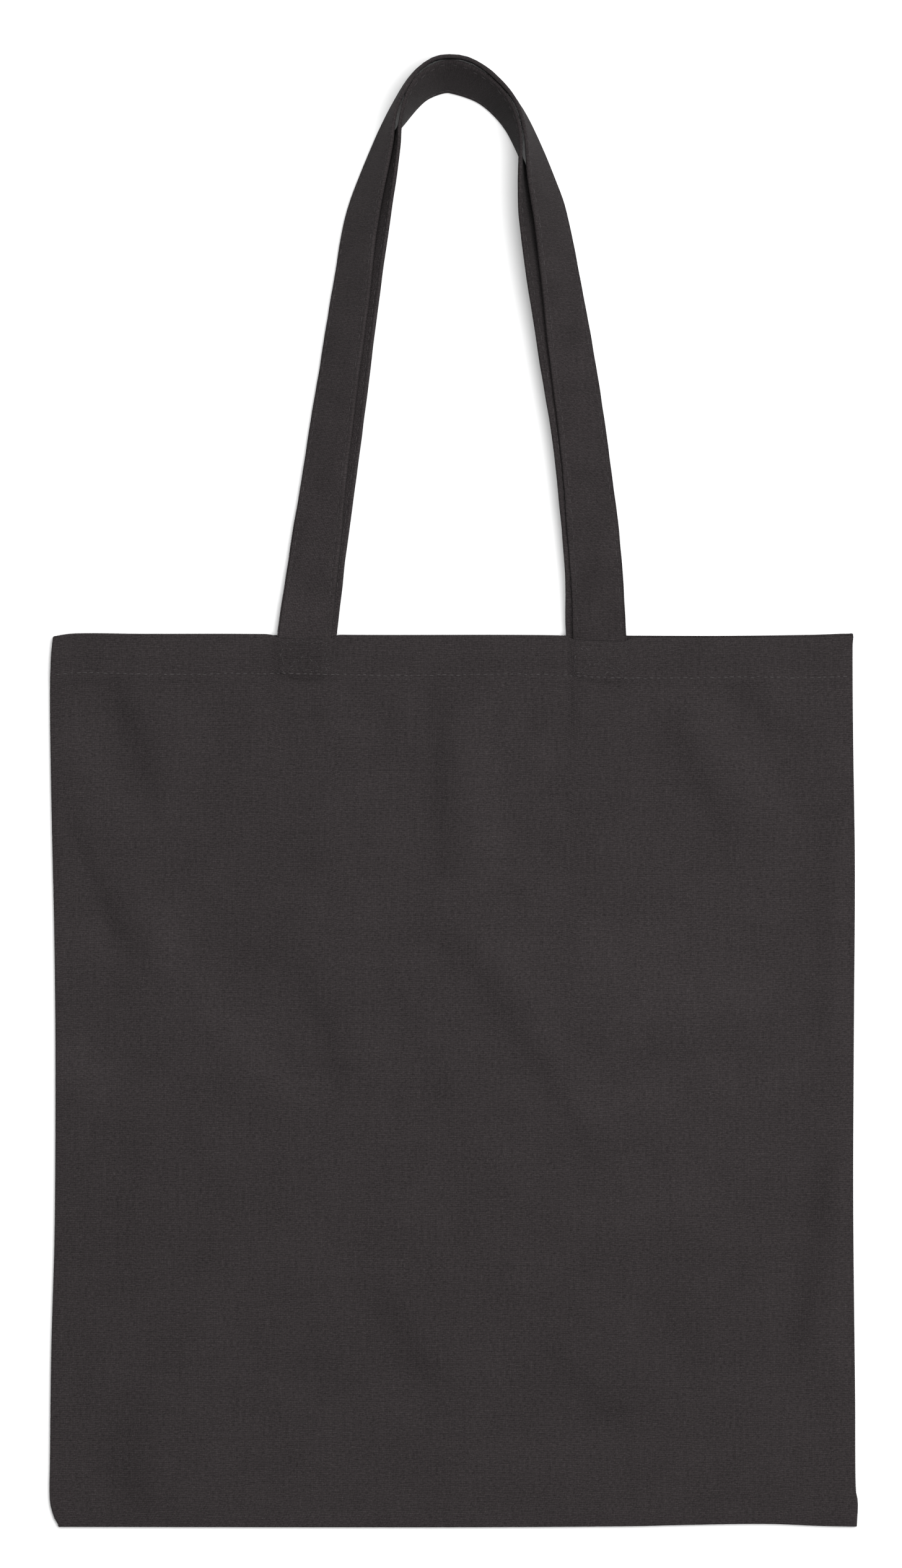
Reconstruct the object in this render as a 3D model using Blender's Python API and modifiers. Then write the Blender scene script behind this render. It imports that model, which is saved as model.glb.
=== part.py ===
"""Canvas tote bag lying flat, face up, with its two long handles laid out beyond the mouth.

Frame: the bag rests on z = 0, +Y runs from the bottom seam to the handles, +X is to the right in plan,
and +Z is up, out of the front panel. The origin is the middle of the back panel's outer face, the face
that the bag rests on. All sizes are in metres.
"""

import math

import bpy
import numpy as np
from mathutils import Matrix, Vector

# Driving dimensions
BAG_WIDTH = 0.379
BAG_HEIGHT = 0.421
MOUTH_Y = BAG_HEIGHT / 2
BOTTOM_Y = -BAG_HEIGHT / 2
CLOTH = 0.0007            # one ply of canvas
HEM_DEPTH = 0.0205        # turned hem round the mouth
HEM_THICK = 0.0018        # three plies
HEM_STEP = 0.0006         # run over which the front panel's thickness grows to the hem's
ALLOWANCE = 0.009         # width of the seam allowance inside the bag
SEAM_THICK = 0.0018       # back panel where the allowances lie on it
CORNER_RADIUS = 0.006     # back panel's two corners at the bottom seam
FRONT_TOP = 0.0088        # outer face of the lofted front panel
SIDE_TOP = 0.0028         # outer face of the front panel at its seams
LOFT_RUN = 0.040          # distance over which the front panel rises from a seam
GAP = 0.0003              # clearance between touching pieces

STRAP_WIDTH = 0.0255
STRAP_THICK = 0.0018
TAB_LENGTH = 0.018        # strap end sewn inside the hem
FRONT_TAB_BASE = 0.0049   # underside of the front handle's ends
BACK_TAB_BASE = 0.0021    # underside of the back handle's ends
HANDLE_ROWS = 52          # cross-sections along a handle
HANDLE_START = MOUTH_Y + 3 * GAP

THREAD = 0.00025          # thread radius
THREAD_END = 0.0012       # space left between a seam thread's end and what it meets
STITCH_REACH = STRAP_WIDTH / 2 - 0.0025   # edge stitching, out from the strap's middle
HEM_STITCH = 0.0189       # hem stitching, below the mouth
BOX_WIDTH = 0.022
BOX_HEIGHT = 0.0135
BOX_TOP = 0.0028          # box stitch, below the mouth
BOX_LINE = 0.0005         # width of a stitched line
BOX_THICK = 0.0004

# Handle stations: across (x), beyond the mouth (y), tilt of the strap's face in degrees and height
# of its lowest edge. The strap lies flat at the hem and stands on its outer edge at the top.
FRONT_STATIONS = [
    (-0.0694, 0.000, 3, 0.0049), (-0.0647, 0.037, 24, 0.0028), (-0.0575, 0.092, 38, 0.0010),
    (-0.0475, 0.160, 46, 0.0006), (-0.0422, 0.196, 54, 0.0003), (-0.0325, 0.230, 70, 0.0),
    (-0.0269, 0.248, 84, 0.0), (-0.0181, 0.262, 87, 0.0), (0.0, 0.2725, 88, 0.0),
    (0.0196, 0.2628, 88, 0.0), (0.0296, 0.2518, 88, 0.0), (0.0358, 0.238, 85, 0.0),
    (0.0420, 0.214, 66, 0.0002), (0.0456, 0.196, 53, 0.0004), (0.0539, 0.140, 37, 0.0020),
    (0.0617, 0.087, 30, 0.0028), (0.0680, 0.030, 17, 0.0037), (0.0698, 0.000, 3, 0.0049),
]
BACK_STATIONS = [
    (-0.0674, 0.000, 3, 0.0021), (-0.0622, 0.037, 26, 0.0003), (-0.0537, 0.092, 39, 0.0),
    (-0.0440, 0.160, 47, 0.0), (-0.0366, 0.196, 57, 0.0), (-0.0288, 0.230, 76, 0.0),
    (-0.0234, 0.2420, 92, 0.0), (-0.0156, 0.2538, 106, 0.0), (0.0, 0.2620, 121, 0.0),
    (0.0137, 0.2566, 114, 0.0), (0.0230, 0.2482, 109, 0.0), (0.0297, 0.236, 101, 0.0),
    (0.0350, 0.212, 80, 0.0), (0.0388, 0.196, 66, 0.0), (0.0499, 0.140, 42, 0.0),
    (0.0587, 0.087, 33, 0.0), (0.0653, 0.030, 19, 0.0006), (0.0668, 0.000, 3, 0.0021),
]

CANVAS = (0.040, 0.035, 0.036, 1.0)
CANVAS_ROUGHNESS = 0.92
THREAD_COLOUR = (0.065, 0.060, 0.061, 1.0)
THREAD_ROUGHNESS = 0.7


# Scene helpers
def clear_scene():
    for obj in list(bpy.data.objects):
        bpy.data.objects.remove(obj, do_unlink=True)


def collection(name):
    made = bpy.data.collections.new(name)
    bpy.context.scene.collection.children.link(made)
    return made


def material(name, colour, roughness):
    made = bpy.data.materials.new(name)
    made.use_nodes = True
    shader = made.node_tree.nodes["Principled BSDF"]
    shader.inputs["Base Color"].default_value = colour
    shader.inputs["Roughness"].default_value = roughness
    shader.inputs["Metallic"].default_value = 0.0
    return made


def move_to(obj, home):
    for owner in list(obj.users_collection):
        owner.objects.unlink(obj)
    home.objects.link(obj)


def add(obj, colour=CANVAS, roughness=CANVAS_ROUGHNESS):
    """Put a part in the bag's collection and give it a material of its own."""
    move_to(obj, tote)
    obj.data.materials.clear()
    obj.data.materials.append(material(obj.name + "_finish", colour, roughness))
    return obj


def add_cutter(obj):
    move_to(obj, cutters)
    obj.hide_render = True
    obj.display_type = "WIRE"
    return obj


def box(name, low, high):
    """A cube primitive sized to two corners, with its scale applied."""
    bpy.ops.mesh.primitive_cube_add(size=1.0)
    obj = bpy.context.active_object
    obj.name = name
    obj.data.name = name
    size = [b - a for a, b in zip(low, high)]
    obj.data.transform(Matrix.Diagonal((*size, 1.0)))
    obj.location = [(a + b) / 2 for a, b in zip(low, high)]
    return obj


def set_points(obj, points):
    obj.data.vertices.foreach_set("co", points.astype(np.float32).ravel())


# Panels
def smooth_rise(distance, run):
    """0 at a seam, 1 past the run, with a level start and finish."""
    t = np.clip(distance / run, 0.0, 1.0)
    return t * t * (3.0 - 2.0 * t)


def back_panel():
    """Flat blank with a shallow recess: one ply inside, thicker under the hem and the allowances."""
    half = BAG_WIDTH / 2
    blank = box("back_panel", (-half, BOTTOM_Y, 0.0), (half, MOUTH_Y, SEAM_THICK))
    bevel = blank.modifiers.new("corner_rounding", "BEVEL")
    bevel.width = CORNER_RADIUS
    bevel.segments = 3
    bevel.limit_method = "WEIGHT"
    mark_bottom_corners(blank)
    recess = box("back_recess", (-half + ALLOWANCE, BOTTOM_Y + ALLOWANCE, CLOTH),
                 (half - ALLOWANCE, MOUTH_Y - HEM_DEPTH, 2 * SEAM_THICK))
    add_cutter(recess)
    cut = blank.modifiers.new("recess", "BOOLEAN")
    cut.operation = "DIFFERENCE"
    cut.object = recess
    return add(blank)


def mark_bottom_corners(obj):
    """Give a bevel weight to the two upright edges at the bottom seam."""
    mesh = obj.data
    weights = mesh.attributes.new("bevel_weight_edge", "FLOAT", "EDGE")
    for edge in mesh.edges:
        a, b = (mesh.vertices[i].co for i in edge.vertices)
        upright = abs(a.z - b.z) > abs(a.x - b.x) + abs(a.y - b.y)
        weights.data[edge.index].value = 1.0 if upright and a.y < 0 else 0.0


def front_panel():
    """A lofted sheet, higher in the middle than at its three seams, thickened inwards at the hem."""
    half = BAG_WIDTH / 2
    rise = np.linspace(0.0, LOFT_RUN, 5)
    across = np.concatenate([rise - half, [-0.075, 0.0, 0.075], (half - rise)[::-1]])
    hem_line = MOUTH_Y - HEM_DEPTH
    fold = hem_line - HEM_STEP
    upper = [-0.060, 0.070, hem_line - LOFT_RUN, hem_line - LOFT_RUN / 2, fold, hem_line, MOUTH_Y]
    along = np.concatenate([BOTTOM_Y + rise, upper])
    bpy.ops.mesh.primitive_grid_add(x_subdivisions=len(across) - 1, y_subdivisions=len(along) - 1, size=1.0)
    obj = bpy.context.active_object
    obj.name = "front_panel"
    x, y = [axis.ravel() for axis in np.meshgrid(across, along)]
    lift = smooth_rise(half - np.abs(x), LOFT_RUN) * smooth_rise(y - BOTTOM_Y, LOFT_RUN)
    loft_start = hem_line - LOFT_RUN
    seam = SIDE_TOP + (HEM_THICK - CLOTH) * smooth_rise(y - loft_start, fold - loft_start)
    z = seam + (FRONT_TOP - seam) * lift
    set_points(obj, np.column_stack([x, y, z]))
    hem = obj.vertex_groups.new(name="hem")
    hem.add([int(i) for i in np.nonzero(y > hem_line - HEM_STEP / 2)[0]], 1.0, "REPLACE")
    solid = obj.modifiers.new("cloth", "SOLIDIFY")
    solid.thickness = HEM_THICK
    solid.offset = -1.0
    solid.vertex_group = "hem"
    solid.thickness_vertex_group = CLOTH / HEM_THICK
    return add(obj)


# Handles
def through(stations, count):
    """Points on a smooth cubic curve through the stations, evenly spaced by chord length."""
    rows = np.array(stations, dtype=float)
    steps = np.hypot(np.diff(rows[:, 0]), np.diff(rows[:, 1]))
    chord = np.concatenate([[0.0], np.cumsum(steps)])
    slope = np.empty_like(rows)
    slope[1:-1] = (rows[2:] - rows[:-2]) / (chord[2:] - chord[:-2])[:, None]
    slope[0] = (rows[1] - rows[0]) / steps[0]
    slope[-1] = (rows[-1] - rows[-2]) / steps[-1]
    where = np.linspace(0.0, chord[-1], count)
    i = np.clip(np.searchsorted(chord, where, side="right") - 1, 0, len(steps) - 1)
    h = steps[i][:, None]
    t = ((where - chord[i]) / steps[i])[:, None]
    return ((2 * t**3 - 3 * t**2 + 1) * rows[i] + (t**3 - 2 * t**2 + t) * h * slope[i]
            + (3 * t**2 - 2 * t**3) * rows[i + 1] + (t**3 - t**2) * h * slope[i + 1])


def strap_frame(stations):
    """Centre line of a handle, with the directions across its width and out of its upper face."""
    path = through(stations, HANDLE_ROWS)
    tilt = np.radians(path[:, 2])
    low = np.clip(path[:, 3], 0.0, None)
    height = low + STRAP_WIDTH / 2 * np.sin(tilt) + STRAP_THICK / 2 * np.abs(np.cos(tilt))
    centre = np.column_stack([path[:, 0], HANDLE_START + path[:, 1], height])
    run = np.gradient(centre[:, :2], axis=0)
    run[0] = (0.0, 1.0)
    run[-1] = (0.0, -1.0)
    run /= np.linalg.norm(run, axis=1)[:, None]
    inward = np.column_stack([run[:, 1], -run[:, 0], np.zeros(len(run))])
    up = np.array([0.0, 0.0, 1.0])
    across = np.cos(tilt)[:, None] * inward + np.sin(tilt)[:, None] * up
    face = -np.sin(tilt)[:, None] * inward + np.cos(tilt)[:, None] * up
    return centre, across, face


def handle(name, stations, hinge):
    """A flat strap carried along its path: a ribbon of rows given its thickness."""
    centre, across, _ = strap_frame(stations)
    columns = [-STRAP_WIDTH / 2, -STITCH_REACH, STITCH_REACH, STRAP_WIDTH / 2]
    bpy.ops.mesh.primitive_grid_add(x_subdivisions=3, y_subdivisions=HANDLE_ROWS - 1, size=1.0)
    obj = bpy.context.active_object
    obj.name = name
    points = np.stack([centre + across * column for column in columns], axis=1).reshape(-1, 3)
    set_points(obj, points - np.array(hinge))
    obj.location = hinge
    solid = obj.modifiers.new("strap_thickness", "SOLIDIFY")
    solid.thickness = STRAP_THICK
    solid.offset = 0.0
    return add(obj)


def handle_threads(name, stations, side, hinge):
    """Two edge-stitching threads, laid just clear of one face of the strap."""
    centre, across, face = strap_frame(stations)
    lift = side * (STRAP_THICK / 2 + GAP + THREAD)
    for edge, sign in (("outer", -1), ("inner", 1)):
        points = centre + across * sign * STITCH_REACH + face * lift
        thread(name + "_" + edge + "_thread", points, hinge)


def tab(name, x, base):
    """The strap's end, flat inside the hem."""
    low = (x - STRAP_WIDTH / 2, MOUTH_Y - TAB_LENGTH, base)
    high = (x + STRAP_WIDTH / 2, HANDLE_START - GAP, base + STRAP_THICK)
    return add(box(name, low, high))


# Threads
def thread(name, points, origin=(0.0, 0.0, 0.0)):
    """A thin tube through the points, with filled ends."""
    data = bpy.data.curves.new(name, "CURVE")
    data.dimensions = "3D"
    data.bevel_depth = THREAD
    data.bevel_resolution = 1
    data.use_fill_caps = True
    spline = data.splines.new("POLY")
    spline.points.add(len(points) - 1)
    for place, point in zip(spline.points, points):
        place.co = (*(Vector(point) - Vector(origin)), 1.0)
    obj = bpy.data.objects.new(name, data)
    obj.location = origin
    tote.objects.link(obj)
    return add(obj, THREAD_COLOUR, THREAD_ROUGHNESS)


def box_stitch(name, x, base):
    """A stitched box with a cross: one flat outline with four triangular windows."""
    data = bpy.data.curves.new(name, "CURVE")
    data.dimensions = "2D"
    data.fill_mode = "BOTH"
    data.extrude = BOX_THICK / 2
    half_w = BOX_WIDTH / 2
    half_h = BOX_HEIGHT / 2
    outline = [(-half_w, -half_h), (half_w, -half_h), (half_w, half_h), (-half_w, half_h)]
    closed_line(data, outline)
    slope = math.hypot(half_w, half_h) * BOX_LINE / 2
    inner_w = half_w - BOX_LINE
    inner_h = half_h - BOX_LINE
    # The cross runs corner to corner: x * half_h = y * half_w, widened by slope on each side.
    for sign in (-1, 1):
        reach_x = (inner_h * half_w - slope) / half_h
        tip_y = slope / half_w
        closed_line(data, [(0.0, sign * tip_y), (reach_x, sign * inner_h), (-reach_x, sign * inner_h)])
        reach_y = (inner_w * half_h - slope) / half_w
        tip_x = slope / half_h
        closed_line(data, [(sign * tip_x, 0.0), (sign * inner_w, reach_y), (sign * inner_w, -reach_y)])
    obj = bpy.data.objects.new(name, data)
    obj.location = (x, MOUTH_Y - BOX_TOP - half_h, base + BOX_THICK / 2)
    tote.objects.link(obj)
    return add(obj, THREAD_COLOUR, THREAD_ROUGHNESS)


def closed_line(data, corners):
    spline = data.splines.new("POLY")
    spline.points.add(len(corners) - 1)
    for place, corner in zip(spline.points, corners):
        place.co = (corner[0], corner[1], 0.0, 1.0)
    spline.use_cyclic_u = True


def seam_threads():
    """Overlocking round the allowances' inner edges, on the back panel's inside."""
    half = BAG_WIDTH / 2
    z = CLOTH + GAP + THREAD
    inset = ALLOWANCE + GAP + THREAD
    low = BOTTOM_Y + inset
    top = MOUTH_Y - HEM_DEPTH - THREAD_END
    for name, sign in (("left", -1), ("right", 1)):
        x = sign * (half - inset)
        thread(name + "_seam_thread", [(x, low, z), (x, 0.0, z), (x, top, z)])
    reach = half - inset - THREAD_END
    thread("bottom_seam_thread", [(-reach, low, z), (0.0, low, z), (reach, low, z)])


def hem_threads():
    """The straight stitch line along each hem, front on the outside and back on the inside."""
    reach = BAG_WIDTH / 2 - LOFT_RUN
    y = MOUTH_Y - HEM_STITCH
    back_z = HEM_THICK + GAP + THREAD
    thread("back_hem_thread", [(-reach, y, back_z), (0.0, y, back_z), (reach, y, back_z)])
    front_z = FRONT_TOP + GAP + THREAD
    thread("front_hem_thread", [(-reach, y, front_z), (0.0, y, front_z), (reach, y, front_z)])


# Assembly
def build():
    front_hinge = (0.0, HANDLE_START, FRONT_TOP + GAP)
    back_hinge = (0.0, HANDLE_START, -GAP)
    back_panel()
    front_panel()
    handle("front_handle", FRONT_STATIONS, front_hinge)
    handle("back_handle", BACK_STATIONS, back_hinge)
    handle_threads("front_handle", FRONT_STATIONS, 1, front_hinge)
    handle_threads("back_handle", BACK_STATIONS, -1, back_hinge)
    for side, index in (("left", 0), ("right", -1)):
        front_x = FRONT_STATIONS[index][0]
        back_x = BACK_STATIONS[index][0]
        tab("front_" + side + "_tab", front_x, FRONT_TAB_BASE)
        tab("back_" + side + "_tab", back_x, BACK_TAB_BASE)
        box_stitch("front_" + side + "_box_stitch", front_x, FRONT_TOP + GAP)
        box_stitch("back_" + side + "_box_stitch", back_x, BACK_TAB_BASE + STRAP_THICK + GAP)
    hem_threads()
    seam_threads()


clear_scene()
tote = collection("canvas_tote_bag")
cutters = collection("cutters")
build()
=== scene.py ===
import math
import bpy
import numpy as np
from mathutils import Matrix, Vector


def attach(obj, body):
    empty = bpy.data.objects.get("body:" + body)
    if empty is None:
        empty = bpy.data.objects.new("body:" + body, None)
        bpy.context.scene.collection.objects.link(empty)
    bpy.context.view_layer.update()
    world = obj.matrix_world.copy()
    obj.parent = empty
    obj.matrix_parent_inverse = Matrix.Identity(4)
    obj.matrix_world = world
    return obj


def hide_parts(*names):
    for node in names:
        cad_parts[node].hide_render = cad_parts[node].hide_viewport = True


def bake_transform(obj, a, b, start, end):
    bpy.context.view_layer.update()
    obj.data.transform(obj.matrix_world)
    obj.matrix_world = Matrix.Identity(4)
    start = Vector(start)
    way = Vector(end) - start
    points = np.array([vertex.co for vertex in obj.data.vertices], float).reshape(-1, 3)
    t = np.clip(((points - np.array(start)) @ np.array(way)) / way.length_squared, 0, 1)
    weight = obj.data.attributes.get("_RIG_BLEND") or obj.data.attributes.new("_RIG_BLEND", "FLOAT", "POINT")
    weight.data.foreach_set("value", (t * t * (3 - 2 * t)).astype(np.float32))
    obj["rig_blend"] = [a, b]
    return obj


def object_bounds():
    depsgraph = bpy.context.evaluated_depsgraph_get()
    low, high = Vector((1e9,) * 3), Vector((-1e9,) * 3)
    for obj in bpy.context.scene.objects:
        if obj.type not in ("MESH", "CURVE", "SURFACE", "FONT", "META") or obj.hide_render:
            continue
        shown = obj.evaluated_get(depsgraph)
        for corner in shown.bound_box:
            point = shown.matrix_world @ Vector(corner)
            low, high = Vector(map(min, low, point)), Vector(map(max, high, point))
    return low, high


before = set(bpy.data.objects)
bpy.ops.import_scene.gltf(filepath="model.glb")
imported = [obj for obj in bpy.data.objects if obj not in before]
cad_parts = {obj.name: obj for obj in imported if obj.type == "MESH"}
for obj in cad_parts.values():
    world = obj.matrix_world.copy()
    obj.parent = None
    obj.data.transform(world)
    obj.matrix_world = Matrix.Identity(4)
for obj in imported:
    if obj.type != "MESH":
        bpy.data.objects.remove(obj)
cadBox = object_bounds()
bpy.context.scene.view_settings.view_transform = "Standard"
print("frame loaded, CAD box", [tuple(round(v, 4) for v in corner) for corner in cadBox])


# Shared shape helpers

def easeStep(t):
    # 3t^2 - 2t^3 between 0 and 1: level at both ends
    t = np.clip(t, 0.0, 1.0)
    return t * t * (3.0 - 2.0 * t)


def lineThrough(knots, values, at):
    # cubic through every value: each span blends its two ends and the slopes of the chords round them
    knots = np.asarray(knots, float)
    values = np.asarray(values, float).reshape(len(knots), -1)
    slopes = np.empty_like(values)
    slopes[1:-1] = (values[2:] - values[:-2]) / (knots[2:] - knots[:-2])[:, None]
    slopes[0] = (values[1] - values[0]) / (knots[1] - knots[0])
    slopes[-1] = (values[-1] - values[-2]) / (knots[-1] - knots[-2])
    at = np.clip(np.asarray(at, float), knots[0], knots[-1])
    span = np.clip(np.searchsorted(knots, at, side="right") - 1, 0, len(knots) - 2)
    width = (knots[span + 1] - knots[span])[..., None]
    t = (at - knots[span])[..., None] / width
    return ((2 * t**3 - 3 * t**2 + 1) * values[span] + (t**3 - 2 * t**2 + t) * width * slopes[span]
            + (3 * t**2 - 2 * t**3) * values[span + 1] + (t**3 - t**2) * width * slopes[span + 1])


def edgeLine(points, at):
    # one coordinate of an outline as a smooth function of the other
    points = np.asarray(points, float)
    return lineThrough(points[:, 0], points[:, 1], at)[..., 0]


def runningLength(points):
    # distance along a line of points, from its first point to each of them
    return np.concatenate([[0.0], np.cumsum(np.linalg.norm(np.diff(points, axis=0), axis=1))])


def rumple(x, y, size, seed, layers=7):
    # sum of sine waves in seeded directions, about `size` metres long, scaled to lie near -1..1
    rng = np.random.default_rng(seed)
    total = np.zeros(np.broadcast(x, y).shape)
    for _ in range(layers):
        turn, phase, stretch = rng.uniform(0, math.pi), rng.uniform(0, 2 * math.pi), rng.uniform(0.7, 1.5)
        total += np.sin(2 * math.pi * (x * math.cos(turn) + y * math.sin(turn)) / (size * stretch) + phase)
    return total / math.sqrt(layers)


def meshPiece(name, points, faces, cornerMap, material):
    mesh = bpy.data.meshes.new(name)
    mesh.from_pydata(points.reshape(-1, 3), [], faces)
    layer = mesh.uv_layers.new(name="clothMap")
    layer.data.foreach_set("uv", np.ascontiguousarray(cornerMap, np.float32).ravel())
    mesh.shade_smooth()
    mesh.materials.append(material)
    piece = bpy.data.objects.new(name, mesh)
    bpy.context.scene.collection.objects.link(piece)
    return piece


def quadsOf(rows, columns, closed=False):
    # corner indices of a grid's quads, joined round the last column if it's closed
    index = np.arange(rows * columns).reshape(rows, columns)
    if closed:
        index = np.concatenate([index, index[:, :1]], axis=1)
    return np.stack([index[:-1, :-1], index[:-1, 1:], index[1:, 1:], index[1:, :-1]], axis=-1).reshape(-1, 4)


def sheetPiece(name, points, flatMap, thickness, material):
    # a grid of cloth at the middle of its thickness; Solidify gives it two faces and closes its edge
    rows, columns = points.shape[:2]
    faces = quadsOf(rows, columns)
    piece = meshPiece(name, points, faces, flatMap.reshape(-1, 2)[faces].reshape(-1, 2), material)
    wall = piece.modifiers.new("plyThickness", "SOLIDIFY")
    wall.thickness = thickness
    wall.offset = 0.0
    return piece


def outwardFaces(points, faces):
    # the faces turned round if the volume that they enclose comes out negative
    a, b, c, d = (points[faces[:, i]] for i in range(4))
    volume = np.einsum("ij,ij->i", a, np.cross(b, c)).sum() + np.einsum("ij,ij->i", a, np.cross(c, d)).sum()
    return faces if volume > 0 else faces[:, ::-1]


# Shader helpers

def groupNode(tree, kind, **settings):
    made = tree.nodes.new(kind)
    for name, value in settings.items():
        setattr(made, name, value)
    return made


def plug(tree, value, socket):
    # a number or colour is typed into the socket, anything else is a link
    if isinstance(value, (int, float, tuple)):
        socket.default_value = value
    else:
        tree.links.new(value, socket)


def sums(tree, operation, first, second=0.0, third=0.0, clamp=False):
    made = groupNode(tree, "ShaderNodeMath", operation=operation, use_clamp=clamp)
    for socket, value in zip(made.inputs, (first, second, third)):
        plug(tree, value, socket)
    return made.outputs[0]


def vectorOf(tree, x, y, z=0.0):
    made = groupNode(tree, "ShaderNodeCombineXYZ")
    for socket, value in zip(made.inputs, (x, y, z)):
        plug(tree, value, socket)
    return made.outputs[0]


def noiseOf(tree, vector, scale, detail=2.0, roughness=0.5):
    made = groupNode(tree, "ShaderNodeTexNoise")
    plug(tree, vector, made.inputs["Vector"])
    plug(tree, scale, made.inputs["Scale"])
    plug(tree, detail, made.inputs["Detail"])
    plug(tree, roughness, made.inputs["Roughness"])
    return made


def newGroup(name, inputs, outputs):
    tree = bpy.data.node_groups.new(name, "ShaderNodeTree")
    for title, kind, value in inputs:
        socket = tree.interface.new_socket(title, in_out="INPUT", socket_type=kind)
        if value is not None:
            socket.default_value = value
    for title, kind in outputs:
        tree.interface.new_socket(title, in_out="OUTPUT", socket_type=kind)
    return tree, groupNode(tree, "NodeGroupInput").outputs, groupNode(tree, "NodeGroupOutput").inputs


def driftOf(tree, vectors, scale, detail, amounts):
    # the second vector moved about by noise read at the first, by up to these amounts
    noise = noiseOf(tree, vectors[0], scale, detail)
    made = groupNode(tree, "ShaderNodeVectorMath", operation="MULTIPLY_ADD")
    tree.links.new(noise.outputs["Color"], made.inputs[0])
    made.inputs[1].default_value = amounts
    tree.links.new(vectors[1], made.inputs[2])
    return made.outputs[0]


def tonedBy(tree, tone, level, socket):
    # the tone made lighter or darker by a level
    made = groupNode(tree, "ShaderNodeVectorMath", operation="SCALE")
    tree.links.new(tone, made.inputs[0])
    tree.links.new(level, made.inputs["Scale"])
    tree.links.new(made.outputs[0], socket)


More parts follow.
